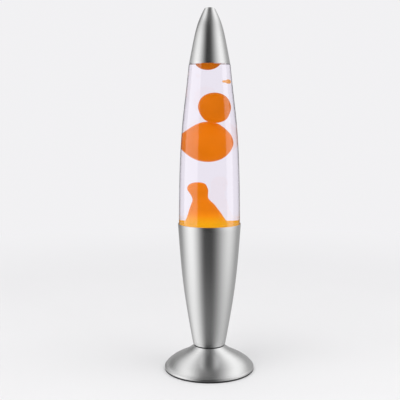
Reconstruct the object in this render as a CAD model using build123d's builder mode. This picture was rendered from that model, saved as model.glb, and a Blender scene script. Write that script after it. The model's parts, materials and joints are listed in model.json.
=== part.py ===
from build123d import *
import math
import os

# Rocket-shaped liquid-motion lamp, free-standing on a table.
# Millimetres. +Z is up, the lamp's axis is Z, and the origin is on the table under that axis.
# +Y is the rear, where the mains lead would leave the foot.

os.makedirs("parts", exist_ok=True)

# ---------------------------------------------------------------- driving dimensions

# heights, from the table up
seam_z = 28.0  # top of the foot, where the neck gasket lies
shell_bottom_z = 29.3
bottle_bottom_z = 131.0
globe_widest_z = 179.0
shell_rim_z = 169.8
cap_edge_z = 348.2
lamp_height = 410.0

# outside radii
foot_r = 51.5
foot_neck_r = 17.8
shell_bottom_r = 18.5
shell_middle_r = 30.0
shell_middle_z = 101.0
shell_rim_r = 35.8
globe_r = 34.65
globe_top_r = 23.2
cap_edge_r = 23.05

# sheet and wall thicknesses
foot_wall = 1.2
shell_wall = 0.8
cap_wall = 0.8
glass_wall = 2.5
bulb_wall = 0.8

# clearances
touch = 0.05  # between pieces that are fixed together
running = 0.1  # a turning or sliding fit
gap = 0.3  # between pieces that move apart
film = 0.12  # left between the glass or the wax and the liquid

# the threaded tube that clamps the stand together, M10 x 1
tube_r = 4.95
tube_bore_r = 4.0
tube_bottom_z = 19.0
tube_top_z = 38.0
tube_chamfer = 0.5
tube_hole_r = tube_r + 0.2
tapped_r = tube_r + 0.03  # the threaded holes on it

# the mains lead's inlet at the rear of the foot
bush_z = 9.6
bush_r = 4.4
cord_bore_r = 3.1
bush_inner_y = 37.0
bush_outer_y = 48.5
bush_mouth_fillet = 0.8

# the lamp, R39 with an E14 cap, and its holder
lamp_contact_z = 47.0  # underside of the lamp's centre contact
lamp_length = 66.0
lamp_r = 19.35
screw_r = 6.95
holder_r = 13.2
holder_top_z = 71.0

# wax afloat in the globe: centre x, y, z, then half width and half height
large_blob = (-1.5, 3.0, 262.0, 22.0, 22.2)
upper_blob = (4.7, -5.0, 299.6, 13.9, 16.6)
top_blob = (-1.0, 0.0, 352.4, 10.2, 10.4)

# a thin trail of wax beside the wall: its level axis, and its outline as x and radius
trail_y = -4.0
trail_z = 328.6
trail = [
    (11.0, 0.0),
    (11.4, 0.8),
    (12.4, 1.3),
    (13.7, 1.35),
    (15.6, 2.2),
    (18.2, 2.2),
    (20.0, 1.4),
    (20.6, 0.0),
]

# wax still at the bottom: its surface, and the leaning column that rises from it
pool_z = 171.5
column = [
    # height, centre x, radius
    (167.5, -2.7, 18.5),
    (174.5, -3.4, 15.5),
    (184.0, -5.0, 11.0),
    (198.0, -7.6, 6.8),
    (208.5, -10.0, 9.2),
    (214.6, -9.9, 6.6),
    (217.2, -9.8, 2.6),
]
liquid_top_z = 368.0


def finish(piece, name):
    """Label a finished piece and write it."""
    piece.part.label = name
    export_step(piece.part, f"parts/{name}.step")


def ellipsoid(x, y, z, half_width, half_height, grow=0.0):
    """A drop of wax: a solid of revolution about its own upright axis."""
    a = half_width + grow
    b = half_height + grow
    with BuildPart(mode=Mode.PRIVATE) as drop:
        with BuildSketch(Plane(origin=(x, y, z), x_dir=(1, 0, 0), z_dir=(0, -1, 0))):
            with BuildLine():
                EllipticalCenterArc((0, 0), a, b, start_angle=-90, arc_size=180)
                Line((0, b), (0, -b))
            make_face()
        revolve(axis=Axis((x, y, z), (0, 0, 1)))
    return drop.part


def trail_solid(grow):
    """The trail of wax, turned about its level axis and made larger all round by grow."""
    tail, *middle, nose = trail
    with BuildPart(mode=Mode.PRIVATE) as strand:
        with BuildSketch(Plane(origin=(0, trail_y, trail_z), x_dir=(1, 0, 0), z_dir=(0, -1, 0))):
            with BuildLine():
                Spline(
                    (tail[0] - grow, 0),
                    *[(x, r + grow) for x, r in middle],
                    (nose[0] + grow, 0),
                )
                Line((nose[0] + grow, 0), (tail[0] - grow, 0))
            make_face()
        revolve(axis=Axis((0, trail_y, trail_z), (1, 0, 0)))
    return strand.part


def dome(edge_r, edge_z, crown_z):
    """The section of a spherical dome, as an arc from its edge up to its crown on the axis."""
    rise = crown_z - edge_z
    radius = (edge_r**2 + rise**2) / (2 * rise)
    start = math.degrees(math.atan2(radius - rise, edge_r))
    return CenterArc((0, crown_z - radius), radius, start_angle=start, arc_size=90 - start)


def inset(points, distance):
    """The same outline, nearer to the axis."""
    return [(r - distance, z) for r, z in points]


# ---------------------------------------------------------------- the foot

rim_lip_z = 2.0  # underside of the metal, where it sits in the rubber edging
rim_top_z = 4.4
rim_round = 0.7
rim_round_r = 0.9
flare_r = foot_r - 0.4
flare = [(24.0, 22.6), (35.4, 16.3)]  # radius, height, between the neck and the rim
flare_inside = [(34.7, 15.2), (23.2, 21.5)]
rim_inner_r = foot_r - foot_wall
neck_inner_r = foot_neck_r - 0.5

with BuildPart() as foot_skirt:
    with BuildSketch(Plane.XZ):
        with BuildLine():
            Line((tube_hole_r, seam_z), (foot_neck_r, seam_z))
            Spline((foot_neck_r, seam_z), *flare, (flare_r, rim_top_z))
            RadiusArc((flare_r, rim_top_z), (foot_r, rim_top_z - rim_round), rim_round_r)
            Polyline(
                (foot_r, rim_top_z - rim_round),
                (foot_r, rim_lip_z),
                (rim_inner_r, rim_lip_z),
                (rim_inner_r, rim_top_z - foot_wall),
            )
            Spline(
                (rim_inner_r, rim_top_z - foot_wall),
                *flare_inside,
                (neck_inner_r, seam_z - foot_wall),
            )
            Polyline(
                (neck_inner_r, seam_z - foot_wall),
                (tube_hole_r, seam_z - foot_wall),
                (tube_hole_r, seam_z),
            )
        make_face()
    revolve(axis=Axis.Z)
    with BuildSketch(Plane.XZ.offset(-(foot_r + 1))):
        with Locations((0, bush_z)):
            Circle(bush_r + touch)
    extrude(amount=foot_r + 1 - bush_inner_y / 2, mode=Mode.SUBTRACT)
finish(foot_skirt, "foot_skirt")

edging_inner_r = 45.0
edging_outer_r = foot_r - 0.1
edging_fillet = 0.6
upstand_r = rim_inner_r - running
upstand_wall = 1.3
upstand_top_z = 3.0

with BuildPart() as foot_edging:
    with BuildSketch(Plane.XZ):
        with BuildLine():
            Polyline(
                (edging_inner_r, 0),
                (edging_outer_r, 0),
                (edging_outer_r, rim_lip_z),
                (upstand_r, rim_lip_z),
                (upstand_r, upstand_top_z),
                (upstand_r - upstand_wall, upstand_top_z),
                (upstand_r - upstand_wall, rim_lip_z),
                (edging_inner_r, rim_lip_z),
                close=True,
            )
        make_face()
    revolve(axis=Axis.Z)
    table_edges = foot_edging.edges().filter_by(GeomType.CIRCLE).group_by(Axis.Z)[0]
    fillet(table_edges.sort_by(SortBy.RADIUS)[-1], radius=edging_fillet)
finish(foot_edging, "foot_edging")

plate_r = upstand_r - upstand_wall - running
plate_thickness = 1.5
vent_count = 16
vent_circle_r = 30.0
vent_length = 16.0
vent_width = 3.0
rib_r = 14.0
rib_wall = 1.5
rib_height = 4.0

with BuildPart() as bottom_plate:
    with BuildSketch(Plane.XY.offset(rim_lip_z)):
        Circle(plate_r)
        with PolarLocations(vent_circle_r, vent_count):
            SlotOverall(vent_length, vent_width, mode=Mode.SUBTRACT)
    extrude(amount=plate_thickness)
    with BuildSketch(Plane.XY.offset(rim_lip_z + plate_thickness)):
        Circle(rib_r)
        Circle(rib_r - rib_wall, mode=Mode.SUBTRACT)
    extrude(amount=rib_height)
finish(bottom_plate, "bottom_plate")

with BuildPart() as cord_bush:
    with BuildSketch(Plane.XZ.offset(-bush_outer_y)):
        with Locations((0, bush_z)):
            Circle(bush_r)
            Circle(cord_bore_r, mode=Mode.SUBTRACT)
    extrude(amount=bush_outer_y - bush_inner_y)
    mouth = cord_bush.edges().group_by(Axis.Y)[-1].sort_by(SortBy.RADIUS)[-1]
    fillet(mouth, radius=bush_mouth_fillet)
finish(cord_bush, "cord_bush")

# ---------------------------------------------------------------- what clamps the stand together

with BuildPart() as threaded_tube:
    with BuildSketch(Plane.XY.offset(tube_bottom_z)):
        Circle(tube_r)
        Circle(tube_bore_r, mode=Mode.SUBTRACT)
    extrude(amount=tube_top_z - tube_bottom_z)
    tube_ends = threaded_tube.edges().filter_by(GeomType.CIRCLE)
    chamfer(tube_ends.group_by(SortBy.RADIUS)[-1], length=tube_chamfer)
finish(threaded_tube, "threaded_tube")

washer_thickness = 0.8
washer_r = 9.0
washer_top_z = seam_z - foot_wall
tooth_count = 12
tooth_circle_r = 8.6
tooth_gap_depth = 1.8
tooth_gap_width = 1.4
nut_height = 3.0
nut_across_flats = 14.0
nut_bottom_z = washer_top_z - washer_thickness - nut_height

with BuildPart() as lock_washer:
    with BuildSketch(Plane.XY.offset(washer_top_z - washer_thickness)):
        Circle(washer_r)
        Circle(tube_hole_r, mode=Mode.SUBTRACT)
        with PolarLocations(tooth_circle_r, tooth_count):
            Rectangle(tooth_gap_depth, tooth_gap_width, mode=Mode.SUBTRACT)
    extrude(amount=washer_thickness)
finish(lock_washer, "lock_washer")

with BuildPart() as tube_nut:
    with BuildSketch(Plane.XY.offset(nut_bottom_z)):
        RegularPolygon(nut_across_flats / 2, 6, major_radius=False)
        Circle(tapped_r, mode=Mode.SUBTRACT)
    extrude(amount=nut_height)
finish(tube_nut, "tube_nut")

gasket_r = foot_neck_r - 0.6

with BuildPart() as neck_gasket:
    with BuildSketch(Plane.XY.offset(seam_z)):
        Circle(gasket_r)
        Circle(tube_hole_r, mode=Mode.SUBTRACT)
    extrude(amount=shell_bottom_z - seam_z)
finish(neck_gasket, "neck_gasket")

# ---------------------------------------------------------------- the tapered shell

shell_floor_z = shell_bottom_z + shell_wall


def shell_side(distance, bottom_z):
    """One surface of the tapered shell, as a curve from the bottom to the rim."""
    return Spline(
        (shell_bottom_r - distance, bottom_z),
        (shell_middle_r - distance, shell_middle_z),
        (shell_rim_r - distance, shell_rim_z),
    )


with BuildPart() as body_shell:
    with BuildSketch(Plane.XZ):
        with BuildLine():
            outside = shell_side(0.0, shell_bottom_z)
            inside = shell_side(shell_wall, shell_floor_z)
            Line(outside @ 1, inside @ 1)
            Polyline(
                inside @ 0,
                (tube_hole_r, shell_floor_z),
                (tube_hole_r, shell_bottom_z),
                outside @ 0,
            )
        make_face()
    revolve(axis=Axis.Z)
finish(body_shell, "body_shell")

# ---------------------------------------------------------------- the lamp holder

holder_wall = 1.6
holder_foot_r = 9.0
holder_foot_height = 3.4
holder_shoulder_z = shell_floor_z + 7.6
holder_shoulder_r = 4.2
grip_groove_z = 58.0
grip_groove_spacing = 7.0
grip_groove_depth = 0.6
grip_groove_width = 1.4
holder_bore_r = holder_r - holder_wall

with BuildPart() as lamp_holder:
    with BuildSketch(Plane.XZ):
        with BuildLine():
            Line((tapped_r, shell_floor_z), (holder_foot_r, shell_floor_z))
            Line((holder_foot_r, shell_floor_z), (holder_foot_r, shell_floor_z + holder_foot_height))
            RadiusArc(
                (holder_foot_r, shell_floor_z + holder_foot_height),
                (holder_r, holder_shoulder_z),
                -holder_shoulder_r,
            )
            Polyline(
                (holder_r, holder_shoulder_z),
                (holder_r, holder_top_z),
                (holder_bore_r, holder_top_z),
                (holder_bore_r, tube_top_z),
                (tapped_r, tube_top_z),
                (tapped_r, shell_floor_z),
            )
        make_face()
    revolve(axis=Axis.Z)
    with BuildSketch(Plane.XZ):
        with Locations((holder_r, grip_groove_z)):
            with GridLocations(0, grip_groove_spacing, 1, 2):
                Rectangle(2 * grip_groove_depth, grip_groove_width)
    revolve(axis=Axis.Z, mode=Mode.SUBTRACT)
finish(lamp_holder, "lamp_holder")

insert_bottom_z = 41.0
insert_r = holder_bore_r - running
liner_r = screw_r + running
liner_wall = 0.4
liner_bottom_z = 51.2
liner_top_z = 68.4
contact_floor_z = 45.4
contact_recess_r = 6.9
screw_seat_x = 8.8
screw_shank_r = 1.25
screw_hole_depth = 6.0

with BuildPart() as holder_insert:
    with BuildSketch(Plane.XY.offset(insert_bottom_z)):
        Circle(insert_r)
    extrude(amount=liner_top_z - insert_bottom_z)
    with BuildSketch(Plane.XY.offset(contact_floor_z)):
        Circle(contact_recess_r)
    extrude(amount=liner_bottom_z - contact_floor_z, mode=Mode.SUBTRACT)
    with BuildSketch(Plane.XY.offset(liner_bottom_z)):
        Circle(liner_r + liner_wall + touch)
    extrude(amount=liner_top_z - liner_bottom_z, mode=Mode.SUBTRACT)
    with BuildSketch(Plane.XY.offset(insert_bottom_z)):
        with Locations((-screw_seat_x, 0), (screw_seat_x, 0)):
            Circle(screw_shank_r + touch)
    extrude(amount=screw_hole_depth, mode=Mode.SUBTRACT)
finish(holder_insert, "holder_insert")

with BuildPart() as holder_thread:
    with BuildSketch(Plane.XY.offset(liner_bottom_z)):
        Circle(liner_r + liner_wall)
        Circle(liner_r, mode=Mode.SUBTRACT)
    extrude(amount=liner_top_z - liner_bottom_z)
finish(holder_thread, "holder_thread")

contact_sheet = 0.3
contact_half_width = 1.6
contact_end_x = -5.0
contact_bend_x = -2.8
contact_top_x = 1.4

with BuildPart() as centre_contact:
    with BuildSketch(Plane.XZ):
        with BuildLine():
            Polyline(
                (contact_end_x, contact_floor_z + contact_sheet),
                (contact_bend_x, contact_floor_z + contact_sheet),
                (-contact_top_x, lamp_contact_z),
                (contact_top_x, lamp_contact_z),
            )
            offset(amount=contact_sheet, side=Side.RIGHT)
        make_face()
    extrude(amount=contact_half_width, both=True)
finish(centre_contact, "centre_contact")

screw_length = 5.0
screw_head_r = 2.4
screw_head_height = 1.5
screw_slot_width = 0.6
screw_slot_depth = 0.7

with BuildPart() as terminal_screws:
    with BuildSketch(Plane.XY.offset(insert_bottom_z)):
        with Locations((-screw_seat_x, 0), (screw_seat_x, 0)):
            Circle(screw_shank_r)
    extrude(amount=screw_length)
    with BuildSketch(Plane.XY.offset(insert_bottom_z)):
        with Locations((-screw_seat_x, 0), (screw_seat_x, 0)):
            Circle(screw_head_r)
    extrude(amount=-screw_head_height)
    with BuildSketch(Plane.XY.offset(insert_bottom_z - screw_head_height)):
        with Locations((-screw_seat_x, 0), (screw_seat_x, 0)):
            Rectangle(2 * screw_head_r, screw_slot_width)
    extrude(amount=screw_slot_depth, mode=Mode.SUBTRACT)
finish(terminal_screws, "terminal_screws")

# ---------------------------------------------------------------- the reflector lamp

contact_tip_r = 2.5
contact_tip_fillet = 0.5
tip_top_z = lamp_contact_z + 1.2
insulator_bottom_r = 3.0
insulator_top_r = 6.25
insulator_top_z = lamp_contact_z + 4.4
screw_top_z = lamp_contact_z + 22.0
lamp_face_z = lamp_contact_z + lamp_length
reflector_rim_z = lamp_face_z - 12.0
lamp_neck_r = 6.3

with BuildPart() as bulb_tip:
    with BuildSketch(Plane.XY.offset(lamp_contact_z)):
        Circle(contact_tip_r)
    extrude(amount=tip_top_z - lamp_contact_z)
    fillet(bulb_tip.edges().group_by(Axis.Z)[0], radius=contact_tip_fillet)
finish(bulb_tip, "bulb_tip")

with BuildPart() as bulb_insulator:
    with BuildSketch(Plane.XY.offset(tip_top_z)):
        Circle(insulator_bottom_r)
    with BuildSketch(Plane.XY.offset(insulator_top_z)):
        Circle(insulator_top_r)
    loft()
finish(bulb_insulator, "bulb_insulator")

with BuildPart() as bulb_screw_shell:
    with BuildSketch(Plane.XY.offset(insulator_top_z)):
        Circle(screw_r)
        Circle(lamp_neck_r + running, mode=Mode.SUBTRACT)
    extrude(amount=screw_top_z - insulator_top_z)
finish(bulb_screw_shell, "bulb_screw_shell")

bowl_r = 16.6
bowl_z = reflector_rim_z - 9.0
face_edge_r = 16.1
face_edge_z = lamp_face_z - 4.4
neck_end_z = insulator_top_z + 5.0


def bowl_side(distance):
    """The flared side of the lamp's glass, as curves, from its neck to its widest."""
    flare = Line((lamp_neck_r - distance, screw_top_z), (bowl_r - distance, bowl_z))
    return TangentArc(flare @ 1, (lamp_r - distance, reflector_rim_z), tangent=flare % 1)


def lamp_glass(distance):
    """One surface of the lamp's glass, as curves, from the neck's end to the face's centre."""
    Line((lamp_neck_r - distance, neck_end_z), (lamp_neck_r - distance, screw_top_z))
    bowl = bowl_side(distance)
    TangentArc(bowl @ 1, (face_edge_r - distance, face_edge_z - distance), tangent=bowl % 1)
    dome(face_edge_r - distance, face_edge_z - distance, lamp_face_z - distance)


with BuildPart() as bulb_envelope:
    with BuildSketch(Plane.XZ):
        with BuildLine():
            lamp_glass(0.0)
            Line((0, lamp_face_z), (0, lamp_face_z - bulb_wall))
            lamp_glass(bulb_wall)
            Line((lamp_neck_r - bulb_wall, neck_end_z), (lamp_neck_r, neck_end_z))
        make_face()
    revolve(axis=Axis.Z)
finish(bulb_envelope, "bulb_envelope")

coating_inset = bulb_wall + film
coating = 0.25

with BuildPart() as bulb_reflector:
    with BuildSketch(Plane.XZ):
        with BuildLine():
            bowl_side(coating_inset)
            bowl_side(coating_inset + coating)
            for r, z in ((lamp_neck_r, screw_top_z), (lamp_r, reflector_rim_z)):
                Line((r - coating_inset, z), (r - coating_inset - coating, z))
        make_face()
    revolve(axis=Axis.Z)
finish(bulb_reflector, "bulb_reflector")

stem_bottom_z = insulator_top_z + 8.0
stem_top_z = 80.0
stem_r = 2.6
pinch_width = 7.0
pinch_thickness = 2.0

with BuildPart() as bulb_stem:
    with BuildSketch(Plane.XY.offset(stem_bottom_z)):
        Circle(stem_r)
    with BuildSketch(Plane.XY.offset(stem_top_z)):
        Rectangle(pinch_width, pinch_thickness)
    loft()
finish(bulb_stem, "bulb_stem")

wire_r = 0.3
wire_bend_r = 1.2
lead_foot_x = 2.4
lead_x = 5.0
lead_foot_top_z = stem_top_z + 4.0
filament_z = 92.0
lead_end_z = filament_z + 0.6

with BuildPart() as bulb_leads:
    for side in (-1, 1):
        with BuildLine():
            FilletPolyline(
                (side * lead_foot_x, 0, stem_top_z),
                (side * lead_foot_x, 0, lead_foot_top_z),
                (side * lead_x, 0, filament_z - 2.0),
                (side * lead_x, 0, lead_end_z),
                radius=wire_bend_r,
            )
        with BuildSketch(Plane.XY.offset(stem_top_z)):
            with Locations((side * lead_foot_x, 0)):
                Circle(wire_r)
        sweep()
finish(bulb_leads, "bulb_leads")

filament_r = 0.7
filament_inner_r = 0.45
filament_half_length = lead_x - wire_r - 0.02

with BuildPart() as bulb_filament:
    with BuildSketch(Plane.YZ.offset(-filament_half_length)):
        with Locations((0, filament_z)):
            Circle(filament_r)
            Circle(filament_inner_r, mode=Mode.SUBTRACT)
    extrude(amount=2 * filament_half_length)
finish(bulb_filament, "bulb_filament")

# ---------------------------------------------------------------- the globe and what closes it

globe_outline = [
    # radius, height, from where the globe is widest up to the cap
    (globe_r, globe_widest_z),
    (33.2, 242.0),
    (30.05, 286.8),
    (26.0, 321.5),
    (globe_top_r, cap_edge_z - gap),
]
base_outline = [
    # radius, height, inside the shell
    (30.6, bottle_bottom_z + 4.0),
    (33.4, 150.0),
    (globe_r, globe_widest_z),
]
upright = (0, 1)
leaning_in = (-0.11, 1)
leaning_out = (0.25, 1)
leaning_out_inside = (0.3, 1)
punt_z = bottle_bottom_z + 1.2
punt_r = 23.0
heel_inner_r = 24.0
heel_outer_r = 27.4
bottle_floor = 3.6
floor_flat_inset = 4.0
neck_r = 12.5
bore_r = 9.5
ledge_r = 21.5
shoulder_r = 21.0
shoulder_z = cap_edge_z + 0.6
shoulder_middle = (18.2, 356.9)
shoulder_middle_inside = (17.4, 356.1)
neck_z = 363.0
bore_bottom_z = neck_z + 0.5
neck_top_z = 379.0


def base_inside(distance):
    """The inside of the globe's base, as curves from the axis out and up to the widest level."""
    floor_z = bottle_bottom_z + bottle_floor + (distance - glass_wall)
    low = inset(base_outline, distance)
    flat_end = (low[0][0] - floor_flat_inset, floor_z)
    Line((0, floor_z), flat_end)
    TangentArc(flat_end, low[0], tangent=(1, 0))
    return Spline(*low, tangents=(leaning_out_inside, upright))


def globe_inside(distance):
    """The inside of the globe up to the neck, as curves; distance is how far in from the outside."""
    base_inside(distance)
    high = inset(globe_outline, distance)
    Spline(*high, tangents=(upright, leaning_in))
    past_wall = distance - glass_wall
    middle_r, middle_z = shoulder_middle_inside
    ThreePointArc(high[-1], (middle_r - past_wall, middle_z - past_wall), (bore_r - past_wall, bore_bottom_z))


with BuildPart() as glass_bottle:
    with BuildSketch(Plane.XZ):
        with BuildLine():
            Polyline(
                (0, punt_z),
                (punt_r, punt_z),
                (heel_inner_r, bottle_bottom_z),
                (heel_outer_r, bottle_bottom_z),
            )
            TangentArc((heel_outer_r, bottle_bottom_z), base_outline[0], tangent=(1, 0))
            Spline(*base_outline, tangents=(leaning_out, upright))
            Spline(*globe_outline, tangents=(upright, leaning_in))
            Polyline(globe_outline[-1], (ledge_r, cap_edge_z), (shoulder_r, shoulder_z))
            ThreePointArc((shoulder_r, shoulder_z), shoulder_middle, (neck_r, neck_z))
            Polyline(
                (neck_r, neck_z),
                (neck_r, neck_top_z),
                (bore_r, neck_top_z),
                (bore_r, bore_bottom_z),
            )
            globe_inside(glass_wall)
            Line((0, bottle_bottom_z + bottle_floor), (0, punt_z))
        make_face()
    revolve(axis=Axis.Z)
finish(glass_bottle, "glass_bottle")

closure_r = 14.2
closure_bore_r = neck_r + 0.15
closure_bottom_z = 367.0
closure_top_z = 381.6
closure_fillet = 0.8
liner_disc = 1.2
flute_count = 36
flute_r = 0.4
flute_top_z = closure_top_z - 2.0

with BuildPart() as bottle_closure:
    with BuildSketch(Plane.XZ):
        with BuildLine():
            Polyline(
                (closure_bore_r, closure_bottom_z),
                (closure_r, closure_bottom_z),
                (closure_r, closure_top_z),
                (0, closure_top_z),
                (0, neck_top_z + liner_disc),
                (closure_bore_r, neck_top_z + liner_disc),
                close=True,
            )
        make_face()
    revolve(axis=Axis.Z)
    fillet(bottle_closure.edges().group_by(Axis.Z)[-1], radius=closure_fillet)
    with BuildSketch(Plane.XY.offset(closure_bottom_z)):
        with PolarLocations(closure_r, flute_count):
            Circle(flute_r)
    extrude(amount=flute_top_z - closure_bottom_z, mode=Mode.SUBTRACT)
finish(bottle_closure, "bottle_closure")

with BuildPart() as closure_liner:
    with BuildSketch(Plane.XY.offset(neck_top_z)):
        Circle(neck_r)
    extrude(amount=liner_disc)
finish(closure_liner, "closure_liner")

# ---------------------------------------------------------------- the coil, the wax and the liquid

coil_r = 17.0
coil_wire_r = 0.6
coil_pitch = 2.0
coil_turns = 3
coil_z = bottle_bottom_z + bottle_floor + coil_wire_r + 0.25
channel_clearance = 0.4
channel_height = coil_pitch * coil_turns + 2 * (coil_wire_r + channel_clearance)

with BuildPart() as heating_coil:
    with BuildLine():
        turns = Helix(coil_pitch, coil_pitch * coil_turns, coil_r, center=(0, 0, coil_z))
    with BuildSketch(Plane(origin=turns @ 0, z_dir=turns % 0)):
        Circle(coil_wire_r)
    sweep()
finish(heating_coil, "heating_coil")


def column_solid(grow):
    """The leaning column of wax, lofted through level circles, made larger all round by grow."""
    crown_z, crown_x, crown_r = column[-1]
    with BuildPart(mode=Mode.PRIVATE) as rising:
        for z, x, r in [*column[:-1], (crown_z + grow, crown_x, crown_r)]:
            with BuildSketch(Plane.XY.offset(z)):
                with Locations((x, 0)):
                    Circle(r + grow)
        loft()
    return rising.part


with BuildPart() as wax_pool:
    with BuildSketch(Plane.XZ):
        with BuildLine():
            side = base_inside(glass_wall + film)
            Polyline(side @ 1, (0, globe_widest_z), (0, bottle_bottom_z + bottle_floor + film))
        make_face()
    revolve(axis=Axis.Z)
    with BuildSketch(Plane.XY.offset(pool_z)):
        Circle(globe_r)
    extrude(amount=globe_widest_z - pool_z + 1, mode=Mode.SUBTRACT)
    add(column_solid(0.0))
    with BuildSketch(Plane.XY.offset(bottle_bottom_z + bottle_floor)):
        Circle(coil_r + coil_wire_r + channel_clearance)
        Circle(coil_r - coil_wire_r - channel_clearance, mode=Mode.SUBTRACT)
    extrude(amount=channel_height, mode=Mode.SUBTRACT)
finish(wax_pool, "wax_pool")

with BuildPart() as liquid:
    with BuildSketch(Plane.XZ):
        with BuildLine():
            globe_inside(glass_wall + film)
            Polyline(
                (bore_r - film, bore_bottom_z),
                (bore_r - film, liquid_top_z),
                (0, liquid_top_z),
                (0, bottle_bottom_z + bottle_floor + film),
            )
        make_face()
    revolve(axis=Axis.Z)
    with BuildSketch(Plane.XY.offset(pool_z + film)):
        Circle(globe_r)
    extrude(amount=bottle_bottom_z - pool_z, mode=Mode.SUBTRACT)
    add(column_solid(film), mode=Mode.SUBTRACT)
    for blob in [large_blob, upper_blob, top_blob]:
        add(ellipsoid(*blob, grow=gap / 2), mode=Mode.SUBTRACT)
    add(trail_solid(gap / 2), mode=Mode.SUBTRACT)
finish(liquid, "liquid")

with BuildPart() as wax_blob_large:
    add(ellipsoid(*large_blob))
finish(wax_blob_large, "wax_blob_large")

with BuildPart() as wax_blob_upper:
    add(ellipsoid(*upper_blob))
finish(wax_blob_upper, "wax_blob_upper")

with BuildPart() as wax_blob_top:
    add(ellipsoid(*top_blob))
finish(wax_blob_top, "wax_blob_top")

with BuildPart() as wax_trail:
    add(trail_solid(0.0))
finish(wax_trail, "wax_trail")

# ---------------------------------------------------------------- what the globe stands on

seat_height = 3.5
seat_inner_r = 24.0
seat_bottom_r = 31.63
seat_top_r = 32.0

with BuildPart() as globe_seat:
    with BuildSketch(Plane.XZ):
        with BuildLine():
            Polyline(
                (seat_inner_r, bottle_bottom_z - seat_height),
                (seat_bottom_r, bottle_bottom_z - seat_height),
                (seat_top_r, bottle_bottom_z),
                (seat_inner_r, bottle_bottom_z),
                close=True,
            )
        make_face()
    revolve(axis=Axis.Z)
finish(globe_seat, "globe_seat")

# ---------------------------------------------------------------- the cap

cap_flank = [
    # radius, height, between the edge and the blunt tip
    (18.2, 373.0),
    (12.0, 396.0),
]
flank_end = (6.3, 408.2)
tip_edge = (4.4, 409.75)  # where the blunt tip's rounding ends
tip_round_r = 2.0
flank_end_inside = (5.6, 407.4)
inner_flank_drop = 0.24

with BuildPart() as cap_shell:
    with BuildSketch(Plane.XZ):
        with BuildLine():
            Spline((cap_edge_r, cap_edge_z), *cap_flank, flank_end)
            RadiusArc(flank_end, tip_edge, -tip_round_r)
            dome(*tip_edge, lamp_height)
            (low_r, low_z), (high_r, high_z) = cap_flank
            Spline(
                (cap_edge_r - cap_wall, cap_edge_z),
                (low_r - cap_wall, low_z),
                (high_r - cap_wall, high_z - inner_flank_drop),
                flank_end_inside,
            )
            dome(*flank_end_inside, lamp_height - cap_wall)
            Line((cap_edge_r, cap_edge_z), (cap_edge_r - cap_wall, cap_edge_z))
            Line((0, lamp_height), (0, lamp_height - cap_wall))
        make_face()
    revolve(axis=Axis.Z)
finish(cap_shell, "cap_shell")

pad_r = 14.0
pad_bore_r = 9.0
pad_height = 3.0

with BuildPart() as cap_pad:
    with BuildSketch(Plane.XY.offset(closure_top_z)):
        Circle(pad_r)
        Circle(pad_bore_r, mode=Mode.SUBTRACT)
    extrude(amount=pad_height)
finish(cap_pad, "cap_pad")
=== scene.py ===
import json
import math
from functools import partial

import bpy
import numpy as np
from mathutils import Matrix, Vector


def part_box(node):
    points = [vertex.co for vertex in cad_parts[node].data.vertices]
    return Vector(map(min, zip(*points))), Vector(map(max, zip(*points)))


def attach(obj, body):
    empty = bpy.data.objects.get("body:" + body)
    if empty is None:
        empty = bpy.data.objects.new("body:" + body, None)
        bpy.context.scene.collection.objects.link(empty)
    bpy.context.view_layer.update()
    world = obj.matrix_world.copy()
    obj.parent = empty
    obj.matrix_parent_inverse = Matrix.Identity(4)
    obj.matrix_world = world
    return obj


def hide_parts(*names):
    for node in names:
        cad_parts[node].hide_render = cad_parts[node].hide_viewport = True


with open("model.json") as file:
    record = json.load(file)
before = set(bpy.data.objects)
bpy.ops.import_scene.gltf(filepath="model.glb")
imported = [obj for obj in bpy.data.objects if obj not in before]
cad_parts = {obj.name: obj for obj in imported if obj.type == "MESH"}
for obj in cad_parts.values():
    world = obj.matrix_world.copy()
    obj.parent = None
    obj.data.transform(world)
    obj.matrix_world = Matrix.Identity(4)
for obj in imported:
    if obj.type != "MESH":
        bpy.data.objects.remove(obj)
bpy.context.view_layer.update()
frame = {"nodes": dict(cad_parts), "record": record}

# The looks of a rocket-shaped lava lamp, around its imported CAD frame.
# Metres; +Z is up, the lamp's axis is Z, and the camera looks along +Y.

nodes = frame["nodes"]
MM = 0.001

bottle_low, bottle_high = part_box("glass_bottle")
cap_low, cap_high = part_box("cap_shell")
pool_low, pool_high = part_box("wax_pool")
liquid_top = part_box("liquid")[1].z

SEGMENTS = 192  # round a turned piece
BEND_ANGLE = math.radians(35)  # edges that bend more than this are drawn sharp
POLE = 1e-7  # a ring with a smaller radius is a point on the axis

GLASS_WALL = 2.5 * MM
LIQUID_IN_WALL = 0.15 * MM  # how far the liquid reaches into the glass
WAX_FROM_WALL = 0.1 * MM
SPUN_WALL = 0.8  # of the shell and the cap, in mm, as their outlines are


# ---------------------------------------------------------------- curves and meshes

def natural_spline(t, values, at):
    """The natural cubic spline through values at t, evaluated at the parameters in at."""
    n = len(t)
    h = np.diff(t)
    system = np.eye(n)
    right = np.zeros(n)
    for i in range(1, n - 1):
        system[i, i - 1:i + 2] = h[i - 1], 2 * (h[i - 1] + h[i]), h[i]
        right[i] = 6 * ((values[i + 1] - values[i]) / h[i] - (values[i] - values[i - 1]) / h[i - 1])
    bend = np.linalg.solve(system, right)
    k = np.clip(np.searchsorted(t, at, side="right") - 1, 0, n - 2)
    a, b = t[k + 1] - at, at - t[k]
    return (
        (bend[k] * a**3 + bend[k + 1] * b**3) / (6 * h[k])
        + (values[k] / h[k] - bend[k] * h[k] / 6) * a
        + (values[k + 1] / h[k] - bend[k + 1] * h[k] / 6) * b
    )


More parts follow.
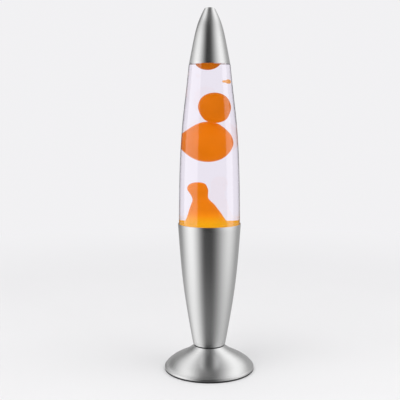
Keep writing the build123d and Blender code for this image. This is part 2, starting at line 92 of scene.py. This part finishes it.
def smooth(points, per_span=10):
    """Points on a smooth curve through the given ones, which can have any number of coordinates."""
    points = np.array(points, float)
    t = np.concatenate([[0], np.cumsum(np.linalg.norm(np.diff(points, axis=0), axis=1))])
    spans = [np.linspace(start, end, per_span, endpoint=False) for start, end in zip(t, t[1:])]
    at = np.concatenate(spans + [[t[-1]]])
    return np.stack([natural_spline(t, column, at) for column in points.T], axis=1)


def corner(before, at, after, radius, steps=4):
    """A rounded corner at a point of an outline: a quadratic curve from one side to the other."""
    before, at, after = (np.array(p, float) for p in (before, at, after))
    start = at + (before - at) * min(0.5, radius / np.linalg.norm(before - at))
    end = at + (after - at) * min(0.5, radius / np.linalg.norm(after - at))
    t = np.linspace(0, 1, steps)[:, None]
    return (1 - t)**2 * start + 2 * t * (1 - t) * at + t**2 * end


def add_mesh(name, vertices, faces):
    mesh = bpy.data.meshes.new(name)
    mesh.from_pydata([tuple(v) for v in vertices], [], faces)
    mesh.validate()
    piece = bpy.data.objects.new(name, mesh)
    bpy.context.scene.collection.objects.link(piece)
    mesh.polygons.foreach_set("use_smooth", [True] * len(mesh.polygons))
    mesh.set_sharp_from_angle(angle=BEND_ANGLE)
    return piece


def skin(name, rings, closed=False, segments=SEGMENTS):
    """A skin over level rings, each (radius, height, centre x, centre y), listed with the inside on the left.
    closed joins the last ring to the first."""
    vertices, starts = [], []
    for radius, z, x, y in rings:
        starts.append((len(vertices), radius > POLE))
        if radius > POLE:
            for i in range(segments):
                a = 2 * math.pi * i / segments
                vertices.append((x + radius * math.cos(a), y + radius * math.sin(a), z))
        else:
            vertices.append((x, y, z))
    faces = []
    following = starts[1:] + starts[:1] if closed else starts[1:]
    for (a, a_round), (b, b_round) in zip(starts, following):
        for i in range(segments):
            j = (i + 1) % segments
            if a_round and b_round:
                faces.append((a + i, a + j, b + j, b + i))
            elif a_round:
                faces.append((a + i, a + j, b))
            elif b_round:
                faces.append((a, b + j, b + i))
    return add_mesh(name, vertices, faces)


def lathe(name, outline, closed=False, segments=SEGMENTS):
    """A turned piece: the outline's (radius, height) points, spun about the lamp's axis."""
    return skin(name, [(max(r, 0.0), z, 0.0, 0.0) for r, z in outline], closed, segments)


# ---------------------------------------------------------------- shader nodes

def new_material(name):
    material = bpy.data.materials.new(name)
    material.use_nodes = True
    tree = material.node_tree
    return material, tree, tree.nodes["Principled BSDF"]


def add_node(tree, kind, **settings):
    """A new node. A setting that starts with in_ is the value of that input."""
    node = tree.nodes.new(kind)
    for key, value in settings.items():
        if key.startswith("in_"):
            node.inputs[key[3:].replace("_", " ")].default_value = value
        else:
            setattr(node, key, value)
    return node


def set_inputs(shader, **values):
    for key, value in values.items():
        shader.inputs[key.replace("_", " ")].default_value = value


def grey(value):
    return (value, value, value)


def solid(tree, colour):
    node = add_node(tree, "ShaderNodeRGB")
    node.outputs[0].default_value = (*colour, 1.0)
    return node.outputs[0]


def ramp(tree, source, stops, interpolation="LINEAR"):
    """A colour ramp fed by source; stops are (position, colour)."""
    node = tree.nodes.new("ShaderNodeValToRGB")
    node.color_ramp.interpolation = interpolation
    elements = node.color_ramp.elements
    while len(elements) < len(stops):
        elements.new(0.5)
    for element, (position, colour) in zip(elements, stops):
        element.position = position
        element.color = (*colour, 1.0)
    tree.links.new(source, node.inputs["Fac"])
    return node.outputs["Color"]


def mix_colours(tree, first, second, factor=None, blend_type="MIX"):
    """Two colours mixed by factor, or wholly by the blend type where there is none."""
    node = add_node(tree, "ShaderNodeMix", data_type="RGBA", blend_type=blend_type)
    if factor is None:
        node.inputs["Factor"].default_value = 1.0
    else:
        tree.links.new(factor, node.inputs["Factor"])
    tree.links.new(first, node.inputs[6])
    tree.links.new(second, node.inputs[7])
    return node.outputs[2]


def mix_shaders(tree, factor, otherwise, chosen):
    node = add_node(tree, "ShaderNodeMixShader")
    tree.links.new(factor, node.inputs[0])
    tree.links.new(otherwise, node.inputs[1])
    tree.links.new(chosen, node.inputs[2])
    return node.outputs[0]


def scaled(tree, source, low, high, interpolation_type="LINEAR"):
    """Source, mapped from low..high to 0..1."""
    node = add_node(tree, "ShaderNodeMapRange", interpolation_type=interpolation_type)
    node.inputs["From Min"].default_value = low
    node.inputs["From Max"].default_value = high
    tree.links.new(source, node.inputs["Value"])
    return node.outputs["Result"]


def object_point(tree):
    """The shaded point, in the object's own coordinates."""
    return add_node(tree, "ShaderNodeTexCoord").outputs["Object"]


def height_of(tree, point):
    split = add_node(tree, "ShaderNodeSeparateXYZ")
    tree.links.new(point, split.inputs[0])
    return split.outputs["Z"]


def noise_at(tree, point, scale, detail):
    node = add_node(tree, "ShaderNodeTexNoise", in_Scale=scale, in_Detail=detail)
    tree.links.new(point, node.inputs["Vector"])
    return node.outputs["Fac"]


def add_bump(tree, shader, height, strength, distance):
    bump = add_node(tree, "ShaderNodeBump", in_Strength=strength, in_Distance=distance)
    tree.links.new(height, bump.inputs["Height"])
    tree.links.new(bump.outputs[0], shader.inputs["Normal"])


# ---------------------------------------------------------------- materials

RINGS_PER_METRE = 1500.0  # of the marks that spinning leaves


def spun_aluminium():
    """Satin aluminium, turned on a lathe: fine rings about the axis, which draw highlights out upwards."""
    material, tree, shader = new_material("spun_aluminium")
    tangent = add_node(tree, "ShaderNodeTangent", direction_type="RADIAL", axis="Z")
    tree.links.new(tangent.outputs[0], shader.inputs["Tangent"])
    set_inputs(shader, Metallic=1.0, Anisotropic=0.8, Anisotropic_Rotation=0.25)
    wide = add_node(tree, "ShaderNodeMath", operation="MULTIPLY")
    wide.inputs[1].default_value = RINGS_PER_METRE
    tree.links.new(height_of(tree, object_point(tree)), wide.inputs[0])
    rings = add_node(
        tree,
        "ShaderNodeTexNoise",
        noise_dimensions="1D",
        in_Scale=1.0,
        in_Detail=3.0,
        in_Roughness=0.6,
    )
    tree.links.new(wide.outputs[0], rings.inputs["W"])
    colour = ramp(tree, rings.outputs["Fac"], [(0.3, grey(0.71)), (0.7, grey(0.77))])
    tree.links.new(colour, shader.inputs["Base Color"])
    rough = ramp(tree, rings.outputs["Fac"], [(0.3, grey(0.22)), (0.7, grey(0.27))])
    tree.links.new(rough, shader.inputs["Roughness"])
    add_bump(tree, shader, rings.outputs["Fac"], 0.08, 0.02 * MM)
    return material


def moulded(name, colour, roughness, grain=0.04 * MM, grain_scale=1500.0):
    """Moulded plastic or rubber, with a fine grain."""
    material, tree, shader = new_material(name)
    noise = noise_at(tree, object_point(tree), grain_scale, 3.0)
    dark = tuple(0.88 * c for c in colour)
    tree.links.new(ramp(tree, noise, [(0.3, dark), (0.7, colour)]), shader.inputs["Base Color"])
    add_bump(tree, shader, noise, 0.5, grain)
    set_inputs(shader, Roughness=roughness)
    return material


def plated(name, colour, roughness):
    """Plated or drawn metal, with faint marks."""
    material, tree, shader = new_material(name)
    noise = noise_at(tree, object_point(tree), 700.0, 4.0)
    dark = tuple(0.8 * c for c in colour)
    tree.links.new(ramp(tree, noise, [(0.35, dark), (0.65, colour)]), shader.inputs["Base Color"])
    rough = ramp(tree, noise, [(0.3, grey(roughness * 0.8)), (0.7, grey(roughness * 1.25))])
    tree.links.new(rough, shader.inputs["Roughness"])
    set_inputs(shader, Metallic=1.0)
    return material


def clear(name, ior, colour=(1.0, 1.0, 1.0, 1.0), glint=1.0, edge=1.0):
    """Clear glass or liquid. glint is how much of its mirror image a surface keeps: none where wetted glass
    and the liquid meet. edge is how bright the glass stays where it is seen edge-on: a painted shade that
    darkens its colour towards its edges."""
    material, tree, shader = new_material(name)
    set_inputs(
        shader,
        Base_Color=colour,
        Roughness=0.0,
        IOR=ior,
        Transmission_Weight=1.0,
        Specular_Tint=(glint, glint, glint, 1.0),
    )
    # painted shade: the glass's colour darkens where it is seen edge-on, down to edge at the very rim
    if edge < 1.0:
        rim = add_node(tree, "ShaderNodeLayerWeight", in_Blend=0.5)
        stops = [(0.62, grey(1.0)), (0.78, grey(0.5 + 0.5 * edge)), (0.95, grey(edge))]
        tree.links.new(ramp(tree, rim.outputs["Facing"], stops), shader.inputs["Base Color"])
    return material


# the wax's colour and its painted glow at heights in mm: a brighter amber at the bottom, near the bulb,
# deepening to a duller orange under the cap, where painted shade falls, with the thin trail of wax paler
WAX_COLOURS_AND_PAINTED_GLOW = [
    (172, (0.90, 0.395, 0.004)),
    (177, (0.93, 0.345, 0.003)),
    (181, (0.93, 0.270, 0.002)),
    (186, (0.86, 0.218, 0.001)),
    (215, (0.85, 0.210, 0.001)),
    (270, (0.83, 0.192, 0.0005)),
    (300, (0.74, 0.175, 0.0005)),
    (322, (0.74, 0.175, 0.0005)),
    (325, (0.90, 0.400, 0.110)),
    (333, (0.90, 0.400, 0.110)),
    (337, (0.69, 0.167, 0.001)),
    (346, (0.57, 0.137, 0.001)),
]


def wax():
    """Molten wax, lit from below by the lamp. Most of its light is a painted glow: an emission that stands in
    for the bulb's light in the wax.
    """
    material, tree, shader = new_material("orange_wax")
    low, high = pool_low.z, cap_low.z
    point = object_point(tree)
    # the wax's colour by height, which also sets its painted glow: brighter near the bulb, with painted shade
    # under the cap
    stops = [((z * MM - low) / (high - low), colour) for z, colour in WAX_COLOURS_AND_PAINTED_GLOW]
    colour = ramp(tree, scaled(tree, height_of(tree, point), low, high), stops)
    shade = ramp(tree, noise_at(tree, point, 60.0, 3.0), [(0.3, grey(0.94)), (0.7, grey(1.0))])
    # painted shade: the glow darkens by a fifth towards the wax's rims, where it is seen edge-on
    rim = add_node(tree, "ShaderNodeLayerWeight", in_Blend=0.35)
    edge = ramp(tree, rim.outputs["Facing"], [(0.45, grey(1.0)), (1.0, grey(0.80))])
    mottled = mix_colours(tree, colour, shade, blend_type="MULTIPLY")
    glow = mix_colours(tree, mottled, edge, blend_type="MULTIPLY")
    body = mix_colours(tree, mottled, solid(tree, grey(0.34)), blend_type="MULTIPLY")
    tree.links.new(body, shader.inputs["Base Color"])
    # painted glow: the emission stands in for the bulb's light scattered in the wax
    tree.links.new(glow, shader.inputs["Emission Color"])
    set_inputs(shader, Roughness=0.5, Emission_Strength=0.755, Specular_IOR_Level=0.08)
    return material


def glowing(name, colour, strength):
    material, tree, shader = new_material(name)
    rgba = (*colour, 1.0)
    set_inputs(shader, Base_Color=rgba, Emission_Color=rgba, Emission_Strength=strength)
    return material


FINISHES = {
    "spun_aluminium": spun_aluminium(),
    "black_rubber": moulded("black_rubber", (0.018, 0.018, 0.019), 0.62),
    "black_plastic": moulded("black_plastic", (0.03, 0.03, 0.031), 0.45),
    "black_phenolic": moulded("black_phenolic", (0.022, 0.02, 0.019), 0.28, grain=0.01 * MM),
    "white_ceramic": moulded("white_ceramic", (0.78, 0.76, 0.71), 0.5, grain=0.02 * MM),
    "white_plastic": moulded("white_plastic", (0.8, 0.8, 0.78), 0.38, grain=0.01 * MM),
    "white_foam": moulded("white_foam", (0.84, 0.84, 0.82), 0.85, grain=0.1 * MM, grain_scale=900.0),
    "zinc_steel": plated("zinc_steel", (0.62, 0.63, 0.66), 0.3),
    "brass": plated("brass", (0.80, 0.58, 0.24), 0.25),
    "nickel": plated("nickel", (0.72, 0.70, 0.66), 0.22),
    "solder": plated("solder", (0.55, 0.55, 0.56), 0.4),
    "black_glass": moulded("black_glass", (0.01, 0.01, 0.014), 0.08, grain=0.0),
    "mirror_coating": plated("mirror_coating", (0.90, 0.90, 0.90), 0.06),
    "tungsten": glowing("tungsten", (1.0, 0.62, 0.25), 12.0),
    "bulb_glass": clear("bulb_glass", 1.5),
    # its edges carry a painted shade, darkening its colour to 0.12 edge-on
    "clear_glass": clear("clear_glass", 1.5, edge=0.12),
    "clear_liquid": clear("clear_liquid", 1.33, (0.985, 0.975, 1.0, 1.0), glint=0.0),
    "orange_wax": wax(),
}
WETTED_GLASS = clear("wetted_glass", 1.5, glint=0.0)

slot_of = {s["node"]: s["material_slot"] for s in frame["record"]["subparts"]}
for node_name, node_object in nodes.items():
    node_object.data.materials.clear()
    node_object.data.materials.append(FINISHES[slot_of[node_name]])


def place(piece, body, slot, *replaced):
    """A finished piece: its material, the body it rides on, its slot, and the CAD nodes it stands for."""
    piece.data.materials.append(FINISHES[slot])
    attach(piece, body)
    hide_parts(*replaced)
    return piece


# ---------------------------------------------------------------- the globe and what is in it

def beside(low, high, *points):
    """Points of a turned outline given in mm as (distance in from the node's greatest radius, height above
    its bottom)."""
    return np.array([(high.x - inward * MM, low.z + up * MM) for inward, up in points])


on_bottle = partial(beside, bottle_low, bottle_high)
on_shell = partial(beside, *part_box("body_shell"))
on_cap = partial(beside, cap_low, cap_high)


def inner(outline, inset):
    return outline - np.array([inset, 0.0])


# the globe's side, from its heel inside the shell to the cap, and its shoulder, under the cap
GLASS_SIDE = np.concatenate([
    smooth(on_bottle((4.05, 4.0), (1.25, 19.0), (0.0, 48.0)), 10)[:-1],
    smooth(on_bottle((0.0, 48.0), (1.45, 111.0), (4.6, 155.8), (8.65, 190.5), (11.45, 216.9)), 14),
])
SHOULDER = smooth(
    on_bottle((11.65, 217.1), (13.35, 219.2), (16.45, 225.5), (20.45, 229.9), (22.15, 234.0)), 6
)
PUNT_RISE = 2.2 * MM  # of the outside of the bottom, on the axis
FLOOR_RISE = 3.6 * MM  # of the inside of the bottom


def make_bottle():
    heel = smooth(on_bottle((10.65, 0.2), (8.65, 0.0), (6.05, 0.9), (4.65, 2.4)), 5)
    outside = np.concatenate([
        [(0.0, bottle_low.z + PUNT_RISE)],
        on_bottle((22.65, 2.0), (14.65, 1.4)),
        heel,
        GLASS_SIDE,
        SHOULDER[1:],
        on_bottle((22.15, 247.2), (22.3, 247.7), (22.8, 248.0), (24.3, 248.0), (24.85, 247.6)),
    ])
    inside = np.concatenate([
        on_bottle((24.85, 245.0)),
        inner(SHOULDER, GLASS_WALL)[::-1],
        inner(GLASS_SIDE, GLASS_WALL)[::-1],
        smooth(on_bottle((6.55, 4.0), (7.65, 4.5), (10.65, 3.6)), 4)[1:],
        [(0.0, bottle_low.z + FLOOR_RISE)],
    ])
    return lathe("globe_glass", np.concatenate([outside, inside]))


def wet_the_inside(bottle):
    """The inner faces of the globe's side meet the liquid, so they mirror nothing."""
    bottle.data.materials.append(WETTED_GLASS)
    lowest, highest = GLASS_SIDE[0][1], GLASS_SIDE[-1][1]
    for face in bottle.data.polygons:
        reach = math.hypot(face.center.x, face.center.y)
        outer = np.interp(face.center.z, GLASS_SIDE[:, 1], GLASS_SIDE[:, 0])
        if lowest < face.center.z < highest and reach < outer - 0.5 * GLASS_WALL:
            face.material_index = 1


def make_liquid():
    """The liquid reaches a little into the glass wall, so that light bends as it does where the two touch."""
    inset = GLASS_WALL - LIQUID_IN_WALL
    outline = np.concatenate([
        [(0.0, bottle_low.z + FLOOR_RISE - LIQUID_IN_WALL)],
        on_bottle((10.65, 3.45)),
        smooth(on_bottle((7.55, 3.9), (6.4, 4.0)), 3),
        inner(GLASS_SIDE, inset)[1:],
        inner(SHOULDER, inset)[1:],
        [(10.15 * MM, liquid_top), (0.0, liquid_top)],
    ])
    return lathe("globe_liquid", outline)


COLUMN = [
    # radius, distance below the column's top, centre x, in mm
    (31.9, 46.6, 0.0),
    (30.4, 47.9, -0.1),
    (26.5, 48.3, -0.8),
    (22.0, 47.4, -1.9),
    (19.0, 45.4, -2.7),
    (15.9, 39.9, -3.4),
    (13.5, 33.4, -4.3),
    (10.9, 27.0, -5.3),
    (9.4, 23.7, -5.9),
    (7.6, 20.4, -6.9),
    (7.0, 17.2, -8.0),
    (7.5, 14.0, -8.7),
    (9.0, 7.6, -10.2),
    (8.2, 4.4, -10.4),
    (6.8, 2.2, -10.0),
    (4.2, 0.6, -9.7),
    (0.0, 0.0, -9.6),
]


def make_pool():
    """Wax at the bottom of the bottle, with the column that rises from it, leaning to one side."""
    surface = pool_high.z - COLUMN[0][1] * MM
    wall = [(r, z, 0.0, 0.0) for r, z in inner(GLASS_SIDE, GLASS_WALL + WAX_FROM_WALL) if z < surface]
    floor = bottle_low.z + 3.8 * MM
    lower = [(0.0, floor, 0.0, 0.0), (20 * MM, floor, 0.0, 0.0), (26.6 * MM, floor + 0.7 * MM, 0.0, 0.0)]
    top = smooth([(r * MM, pool_high.z - down * MM, x * MM, 0.0) for r, down, x in COLUMN], 5)
    crown = (0.0, *top[-1][1:])
    return skin("wax_pool_and_column", [*lower, *wall, *top[:-1], crown], segments=128)


# the drifting pieces of wax, by level: the share of the piece's height from the bottom up, its width over an
# ellipsoid's at that height, and its sideways shift in mm
LARGE_ROWS = [
    (0.0, 1.04, 0.3),
    (0.1, 1.0, 0.1),
    (0.2, 1.0, -0.4),
    (0.3, 1.01, -1.0),
    (0.45, 1.02, -1.4),
    (0.58, 1.0, -1.5),
    (0.68, 0.97, -1.2),
    (0.78, 0.91, -0.7),
    (0.88, 0.86, -0.1),
    (1.0, 0.86, 0.4),
]
UPPER_ROWS = [
    (0.0, 1.20, 0.3),
    (0.1, 1.12, 0.3),
    (0.2, 1.06, 0.2),
    (0.35, 1.04, 0.0),
    (0.5, 1.07, -0.1),
    (0.75, 1.09, -0.3),
    (0.9, 1.13, -0.3),
    (1.0, 1.15, -0.3),
]
TOP_ROWS = [
    (0.0, 1.1, -0.6),
    (0.5, 1.08, -0.4),
    (1.0, 1.0, 0.0),
]
TOP_DROP = 0.9 * MM  # how far the top piece hangs below its CAD node
BLOB_LEVELS = 49


def make_blob(name, node, rows, drop):
    """A drifting piece of wax in its CAD node's box, shaped by one of the lists above."""
    low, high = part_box(node)
    middle = (low + high) / 2
    half = (high.x - low.x) / 2
    shares, fullness, shifts = (np.array(column) for column in zip(*rows))
    at = (1 - np.cos(np.linspace(0, math.pi, BLOB_LEVELS))) / 2
    widths = natural_spline(shares, fullness, at)
    asides = natural_spline(shares, shifts, at)
    rings = []
    for share, width, aside in zip(at, widths, asides):
        radius = half * math.sqrt(max(1 - (2 * share - 1)**2, 0.0)) * width
        rings.append((radius, low.z + (high.z - low.z) * share - drop, middle.x + aside * MM, middle.y))
    return skin(name, rings, segments=96)


# the thin trail of wax beside the wall, in mm: its radius, and how far along its level axis
TRAIL = [(0.0, 0.0), (0.75, 0.4), (1.3, 1.4), (1.25, 2.7), (2.0, 4.3), (2.3, 6.4), (1.8, 8.6), (0.0, 9.6)]


def make_trail():
    low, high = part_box("wax_trail")
    middle = (low + high) / 2
    piece = lathe("wax_trail_strand", smooth(TRAIL, 8) * MM, segments=64)
    lying = Matrix.Rotation(math.pi / 2, 4, "Y")
    piece.data.transform(Matrix.Translation((low.x, middle.y, middle.z)) @ lying)
    return piece


bottle = place(make_bottle(), "globe", "clear_glass", "glass_bottle")
wet_the_inside(bottle)
liquid = place(make_liquid(), "globe", "clear_liquid", "liquid")
place(make_pool(), "globe", "orange_wax", "wax_pool")
for name, node, rows, drop in (
    ("wax_large", "wax_blob_large", LARGE_ROWS, 0.0),
    ("wax_upper", "wax_blob_upper", UPPER_ROWS, 0.0),
    ("wax_top", "wax_blob_top", TOP_ROWS, TOP_DROP),
):
    place(make_blob(name, node, rows, drop), name, "orange_wax", node)
place(make_trail(), "globe", "orange_wax", "wax_trail")
for see_through in (bottle, liquid, nodes["bulb_envelope"], nodes["bulb_stem"]):
    see_through.visible_shadow = False

# ---------------------------------------------------------------- the shell and the cap

def make_shell():
    outside = smooth(on_shell((17.3, 0.0), (5.8, 71.7), (0.0, 140.5)), 24)
    inside = smooth(
        on_shell((17.3 + SPUN_WALL, SPUN_WALL), (5.8 + SPUN_WALL, 71.7), (SPUN_WALL, 140.5)), 24
    )
    bottom = on_shell((30.65, 0.0), (19.0, 0.0))
    outline = np.concatenate([
        bottom,
        corner(bottom[-1], outside[0], outside[2], 0.9 * MM, 6),
        outside[2:-2],
        corner(outside[-3], outside[-1], inside[-1], 0.35 * MM),
        corner(outside[-1], inside[-1], inside[-3], 0.35 * MM),
        inside[::-1][2:],
        on_shell((19.4, SPUN_WALL), (30.65, SPUN_WALL)),
    ])
    return lathe("shell_skin", outline, closed=True)


def make_cap():
    outside = smooth(on_cap((0.0, 0.0), (4.85, 24.8), (11.05, 47.8), (16.75, 60.0)), 16)
    inside = smooth(
        on_cap((SPUN_WALL, 0.0), (4.85 + SPUN_WALL, 24.8), (11.05 + SPUN_WALL, 47.56), (17.45, 59.2)), 16
    )
    nose = smooth(on_cap((16.75, 60.0), (17.45, 60.95), (18.65, 61.55), (20.55, 61.75)), 5)
    outline = np.concatenate([
        [(0.0, cap_high.z - SPUN_WALL * MM)],
        on_cap((20.55, 60.8), (18.85, 60.2)),
        inside[::-1][:-2],
        corner(inside[2], inside[0], outside[0], 0.3 * MM),
        corner(inside[0], outside[0], outside[2], 0.3 * MM),
        outside[2:],
        nose[1:],
        [(0.0, cap_high.z)],
    ])
    return lathe("cap_skin", outline)


place(make_shell(), "base", "spun_aluminium", "body_shell")
place(make_cap(), "cap", "spun_aluminium", "cap_shell")

# ---------------------------------------------------------------- the studio

PALE = (0.885, 0.88, 0.895, 1.0)
THROUGH_GLASS = (0.867, 0.832, 0.903, 1.0)  # the studio as the globe shows it
FADE_START, FADE_END = 0.15, 1.1  # how far out the floor fades into the studio's shade
FLOOR_RINGS = (0.0, 0.3, 1.0, 4.0, 40.0)


def make_floor():
    """A plain pale floor, which fades into the studio's own shade far away."""
    floor = lathe("floor", [(r, 0.0) for r in FLOOR_RINGS], segments=96)
    material, tree, shader = new_material("floor_paint")
    point = object_point(tree)
    colour = ramp(tree, noise_at(tree, point, 3.0, 2.0), [(0.3, grey(0.76)), (0.7, grey(0.78))])
    tree.links.new(colour, shader.inputs["Base Color"])
    set_inputs(shader, Roughness=0.9, Specular_IOR_Level=0.1)
    away = add_node(tree, "ShaderNodeVectorMath", operation="LENGTH")
    tree.links.new(point, away.inputs[0])
    fade = scaled(tree, away.outputs["Value"], FADE_START, FADE_END, "SMOOTHSTEP")
    far = add_node(tree, "ShaderNodeEmission", in_Color=PALE, in_Strength=1.0)
    surface = mix_shaders(tree, fade, shader.outputs[0], far.outputs[0])
    tree.links.new(surface, tree.nodes["Material Output"].inputs["Surface"])
    floor.data.materials.append(material)
    floor.visible_glossy = False
    floor.visible_transmission = False


# The studio's lights are laid out by the surface that mirrors them to the front: its bearing, in degrees from
# the front with the left negative, and its lean, the sine of the angle that it faces up by.
# What satin metal mirrors, by lean, as (bearing, grey level): the left light, the dark gap, the right light.
SATIN_LIGHTS = [
    (-0.28, [(-72, 0.50), (-46, 1.06), (-4, 0.24), (2, 0.22), (44, 0.58), (70, 0.46)]),
    (-0.10, [(-68, 0.26), (-35, 1.26), (-8, 0.03), (3, 0.02), (40, 0.98), (66, 0.40)]),
    (0.31, [(-73, 0.20), (-40, 1.34), (-7, 0.03), (-1, 0.05), (36, 1.36), (64, 0.42)]),
    (0.44, [(-75, 0.80), (-57, 0.98), (-16, 0.03), (-5, 0.05), (42, 0.74), (70, 0.50)]),
    (0.52, [(-64, 0.14), (-30, 1.26), (-6, 0.22), (4, 0.18), (36, 1.34), (68, 0.42)]),
    (0.80, [(-70, 0.36), (-38, 1.04), (-7, 0.27), (5, 0.15), (50, 1.24), (80, 0.38)]),
]
# What polished glass mirrors: the same two lights, with crisp edges.
CRISP_LIGHTS = [
    (-90, 0.06),
    (-57, 0.06),
    (-54, 1.0),
    (-25, 1.0),
    (-22, 0.03),
    (33, 0.03),
    (36, 1.0),
    (49, 1.0),
    (52, 0.06),
    (90, 0.06),
]
CRISP_STRENGTH = 1.9
TO_THE_LAMP = (0.0, 0.99, -0.11)  # the way the camera looks
BEHIND = 0.40  # what metal mirrors from straight behind the lamp, as its edges do
BEHIND_END, LIGHTS_START = 0.1, 0.7  # how far from straight behind the one gives way to the other


def mirroring_surface(tree):
    """The bearing, from 0 on the left to 1 on the right, and the lean of the surface that mirrors light from
    the shaded direction to the front; and how far that direction is from straight behind the lamp, as the
    length of the vector between the two."""
    direction = add_node(tree, "ShaderNodeTexCoord")
    half_way = add_node(tree, "ShaderNodeVectorMath", operation="SUBTRACT")
    half_way.inputs[1].default_value = TO_THE_LAMP
    tree.links.new(direction.outputs["Generated"], half_way.inputs[0])
    unit = add_node(tree, "ShaderNodeVectorMath", operation="NORMALIZE")
    tree.links.new(half_way.outputs[0], unit.inputs[0])
    faced = add_node(tree, "ShaderNodeSeparateXYZ")
    tree.links.new(unit.outputs[0], faced.inputs[0])
    forward = add_node(tree, "ShaderNodeMath", operation="MULTIPLY")
    forward.inputs[1].default_value = -1.0
    tree.links.new(faced.outputs["Y"], forward.inputs[0])
    turn = add_node(tree, "ShaderNodeMath", operation="ARCTAN2")
    tree.links.new(faced.outputs["X"], turn.inputs[0])
    tree.links.new(forward.outputs[0], turn.inputs[1])
    bearing = scaled(tree, turn.outputs[0], -math.pi / 2, math.pi / 2)
    apart = add_node(tree, "ShaderNodeVectorMath", operation="LENGTH")
    tree.links.new(half_way.outputs[0], apart.inputs[0])
    return bearing, faced.outputs["Z"], apart.outputs["Value"]


def row_of_lights(tree, bearing, row, interpolation):
    stops = [(0.5 + degrees / 180, grey(level)) for degrees, level in row]
    return ramp(tree, bearing, stops, interpolation)


def satin_lights(tree, bearing, lean, apart):
    """SATIN_LIGHTS, blended from one lean to the next, and into BEHIND."""
    (lower, row), *rest = SATIN_LIGHTS
    result = row_of_lights(tree, bearing, row, "EASE")
    for upper, row in rest:
        above = row_of_lights(tree, bearing, row, "EASE")
        result = mix_colours(tree, result, above, scaled(tree, lean, lower, upper))
        lower = upper
    behind = solid(tree, grey(BEHIND))
    return mix_colours(tree, behind, result, scaled(tree, apart, BEHIND_END, LIGHTS_START))


def make_world():
    """A pale studio all round. Satin metal mirrors soft lights either side, with dark between them in front;
    polished glass mirrors lights with crisper edges; through the globe all is bright."""
    world = bpy.data.worlds.new("studio")
    bpy.context.scene.world = world
    world.use_nodes = True
    tree = world.node_tree
    tree.nodes.clear()
    bearing, lean, apart = mirroring_surface(tree)
    soft = add_node(tree, "ShaderNodeBackground", in_Strength=1.0)
    tree.links.new(satin_lights(tree, bearing, lean, apart), soft.inputs["Color"])
    crisp = add_node(tree, "ShaderNodeBackground", in_Strength=CRISP_STRENGTH)
    tree.links.new(row_of_lights(tree, bearing, CRISP_LIGHTS, "LINEAR"), crisp.inputs["Color"])
    pale = add_node(tree, "ShaderNodeBackground", in_Color=PALE, in_Strength=1.0)
    through = add_node(tree, "ShaderNodeBackground", in_Color=THROUGH_GLASS, in_Strength=1.0)
    path = add_node(tree, "ShaderNodeLightPath")
    mirrored = mix_shaders(tree, path.outputs["Is Singular Ray"], soft.outputs[0], crisp.outputs[0])
    seen = mix_shaders(tree, path.outputs["Is Glossy Ray"], pale.outputs[0], mirrored)
    result = mix_shaders(tree, path.outputs["Is Transmission Ray"], seen, through.outputs[0])
    output = add_node(tree, "ShaderNodeOutputWorld")
    tree.links.new(result, output.inputs["Surface"])


LAMP_SIZE = 0.9
LAMPS_AIM = Vector((0.0, 0.0, 0.1))


def make_lamp(name, location, power):
    """A soft box that lights the floor and the wax, and isn't mirrored."""
    data = bpy.data.lights.new(name, "AREA")
    data.shape = "DISK"
    data.size = LAMP_SIZE
    data.energy = power
    lamp = bpy.data.objects.new(name, data)
    bpy.context.scene.collection.objects.link(lamp)
    lamp.location = location
    lamp.rotation_euler = (LAMPS_AIM - Vector(location)).to_track_quat("-Z", "Y").to_euler()
    lamp.visible_glossy = False


CAMERA_PLACE = (-0.0107, -0.811, 0.2868)
CAMERA_DOWN = 6.35  # degrees that it looks down by
SENSOR, LENS = 36.0, 64.68


def make_camera():
    """At the photograph's angle: level with the upper part of the globe, tilted slightly down."""
    data = bpy.data.cameras.new("camera")
    data.sensor_width = SENSOR
    data.lens = LENS
    camera = bpy.data.objects.new("camera", data)
    bpy.context.scene.collection.objects.link(camera)
    camera.location = CAMERA_PLACE
    camera.rotation_euler = (math.radians(90 - CAMERA_DOWN), 0.0, 0.0)
    bpy.context.scene.camera = camera


make_floor()
make_world()
make_lamp("key", (-0.5, -0.5, 1.3), 5.0)
make_lamp("fill", (0.7, -0.3, 1.1), 3.0)
make_camera()

scene = bpy.context.scene
scene.view_settings.view_transform = "Standard"
scene.cycles.use_denoising = True
scene.cycles.max_bounces = 24
scene.cycles.transmission_bounces = 20
scene.cycles.sample_clamp_indirect = 8.0
